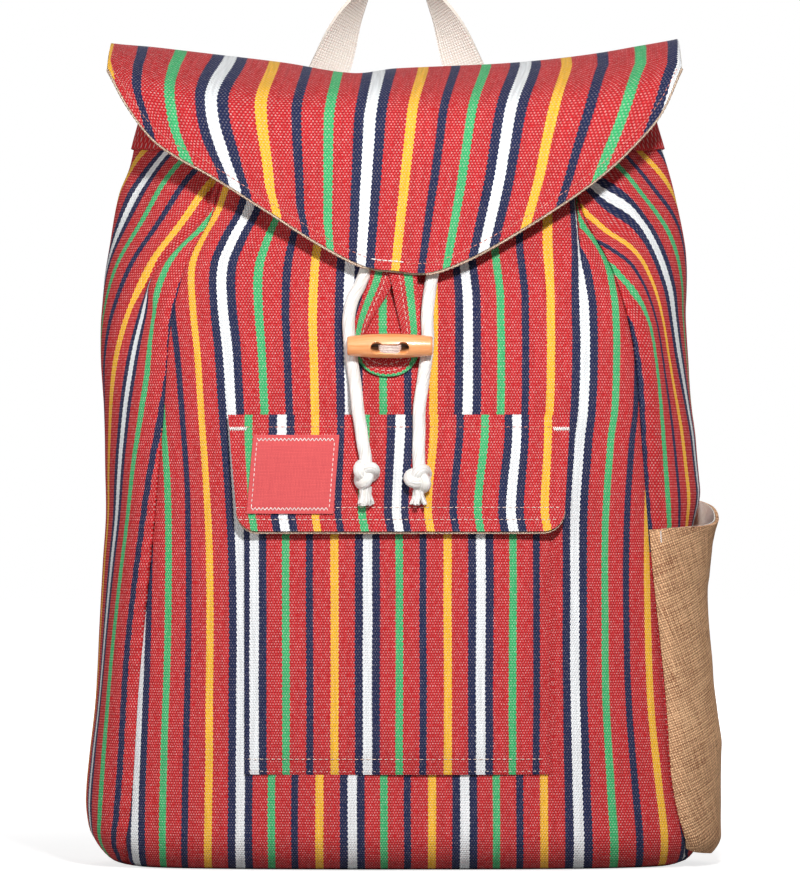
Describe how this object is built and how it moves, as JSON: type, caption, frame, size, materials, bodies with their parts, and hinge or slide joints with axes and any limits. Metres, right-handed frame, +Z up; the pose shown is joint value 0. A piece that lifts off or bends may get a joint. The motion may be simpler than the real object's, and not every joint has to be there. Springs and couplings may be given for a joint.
{
  "type": "rucksack",
  "caption": "Soft upright rucksack in striped cotton canvas with a gathered drawstring mouth, pointed top flap, toggle and loop, patch pocket, side pocket, handle and straps.",
  "frame": {"origin": "middle of the base's flat underside, where the bag stands", "axes": "+Z up, -Y to the front with the flap and the pocket, +X to the right as seen from the front"},
  "size_m": [0.3235, 0.2146, 0.474],
  "materials": {
    "canvas": "coarse woven cotton, striped",
    "lining": "plain woven cotton",
    "webbing": "ribbed cotton webbing",
    "burlap": "open coarse weave",
    "cotton": "undyed cotton cord and cloth",
    "wood": "turned and varnished",
    "label": "bare cloth patch"
  },
  "bodies": {
    "root": {"front_panel": "canvas", "left_gusset": "canvas", "right_gusset": "canvas", "back_panel": "canvas", "base_panel": "canvas", "drawstring_casing": "canvas", "flap_outer": "canvas", "front_pocket": "canvas", "pocket_flap": "canvas", "toggle_loop": "canvas", "flap_lining": "lining", "pocket_flap_lining": "lining", "carry_handle": "webbing", "left_shoulder_strap": "webbing", "right_shoulder_strap": "webbing", "side_pocket": "burlap", "side_pocket_lining": "cotton", "toggle_thread": "cotton", "drawstring_run": "cotton", "drawstring_left_end": "cotton", "drawstring_right_end": "cotton", "left_knot": "cotton", "right_knot": "cotton", "toggle": "wood", "label_patch": "label"}
  },
  "joints": []
}
